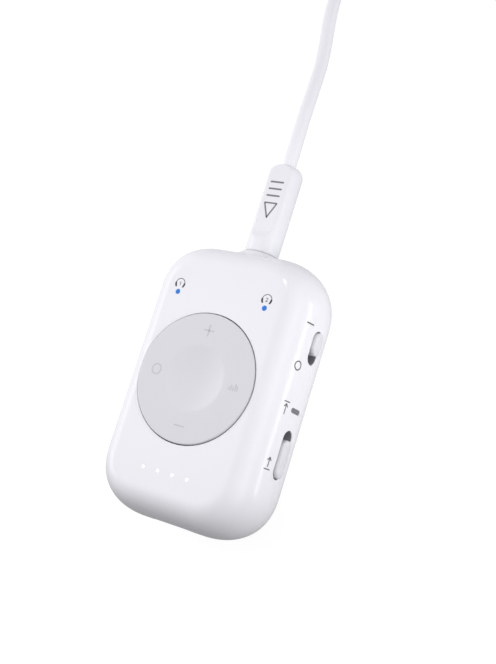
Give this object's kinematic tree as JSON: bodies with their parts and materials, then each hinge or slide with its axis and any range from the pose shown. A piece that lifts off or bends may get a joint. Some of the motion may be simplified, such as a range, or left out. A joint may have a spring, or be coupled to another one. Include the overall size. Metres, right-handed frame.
{
  "type": "wireless audio receiver",
  "caption": "Pocket wireless audio adapter with a tilting dial, slide switches, status lights and a coiled stereo cable plugged into its top.",
  "frame": {"origin": "middle of the back face, on which the case lies", "axes": "+X towards the side with the slide switches, +Y towards the end with the audio jack, +Z out of the dial face"},
  "size_m": [0.0443, 0.1583, 0.0183],
  "materials": {
    "case_white": "glossy moulded white ABS",
    "dial_grey": "fine matte light grey plastic",
    "knob_white": "satin off-white plastic",
    "liner_dark": "matte dark grey film",
    "black_plastic": "black moulded polymer",
    "board_green": "green solder mask over glass fibre",
    "tinned_steel": "tinned sheet steel",
    "gold_plate": "gold plated contacts",
    "led_blue": "lit blue lens",
    "lens_clear": "milky clear light guide",
    "phosphor": "yellow phosphor in a white body",
    "ceramic": "fired ceramic",
    "grille_grey": "fine dark grey acoustic mesh",
    "rubber_black": "soft silicone rubber",
    "pouch": "laminated aluminium pouch",
    "foam_grey": "adhesive foam tape",
    "wire_red": "silicone wire jacket",
    "wire_black": "silicone wire jacket",
    "cord_white": "soft satin white PVC",
    "tie_white": "soft grey-white band"
  },
  "bodies": {
    "case": {"front_shell": "case_white", "rear_cover": "case_white", "pivot_socket": "black_plastic", "tact_switches": "tinned_steel", "tact_plungers": "black_plastic", "key_pcb": "board_green", "blue_led_lenses": "led_blue", "battery_light_guide": "lens_clear", "blue_leds": "phosphor", "battery_leds": "phosphor", "board_connector": "black_plastic", "main_pcb": "board_green", "pcb_screws": "tinned_steel", "bluetooth_chip": "black_plastic", "shield_can": "tinned_steel", "chip_antenna": "ceramic", "codec_chip": "black_plastic", "charger_chip": "black_plastic", "board_passives": "ceramic", "battery_cell": "pouch", "battery_foam": "foam_grey", "protection_board": "board_green", "battery_lead_red": "wire_red", "battery_lead_black": "wire_black", "audio_jack": "black_plastic", "jack_contacts": "gold_plate", "usb_shell": "tinned_steel", "usb_tongue": "black_plastic", "usb_contacts": "gold_plate", "mic_grille": "grille_grey", "microphone": "tinned_steel", "mic_gasket": "rubber_black", "power_switch_can": "tinned_steel", "power_switch_base": "black_plastic", "power_slot_liner": "liner_dark", "mode_switch_can": "tinned_steel", "mode_switch_base": "black_plastic", "mode_slot_liner": "liner_dark"},
    "pivot": {"pivot_ball": "rubber_black"},
    "dial": {"nav_disc": "dial_grey"},
    "power_slider": {"power_knob": "knob_white", "power_lever": "black_plastic"},
    "mode_slider": {"mode_knob": "knob_white", "mode_lever": "black_plastic"},
    "cable": {"plug_housing": "case_white", "plug_sleeve": "gold_plate", "plug_ring": "gold_plate", "plug_tip": "gold_plate", "plug_insulators": "black_plastic", "cord_lead": "cord_white", "cord_coil": "cord_white", "cord_tail": "cord_white", "cord_tie": "tie_white", "far_plug_housing": "case_white", "far_plug_sleeve": "gold_plate", "far_plug_ring": "gold_plate", "far_plug_tip": "gold_plate", "far_plug_insulators": "black_plastic"}
  },
  "joints": [
    {"name": "dial_tilt_volume", "type": "hinge", "parent": "case", "child": "pivot", "pos_m": [0, 0, 0.0149], "axis": [1, 0, 0], "range_deg": [-1.1, 1.1], "stiffness_Nm_per_rad": 0.7},
    {"name": "dial_tilt_mode", "type": "hinge", "parent": "pivot", "child": "dial", "pos_m": [0, 0, 0.0149], "axis": [0, 1, 0], "range_deg": [-1.1, 1.1], "stiffness_Nm_per_rad": 0.7},
    {"name": "power_slide", "type": "slide", "parent": "case", "child": "power_slider", "axis": [0, 1, 0], "range_m": [-0.0015, 0]},
    {"name": "mode_slide", "type": "slide", "parent": "case", "child": "mode_slider", "axis": [0, 1, 0], "range_m": [0, 0.0015]},
    {"name": "plug_pull", "type": "slide", "parent": "case", "child": "cable", "axis": [0, 1, 0], "range_m": [0, 0.016]}
  ]
}
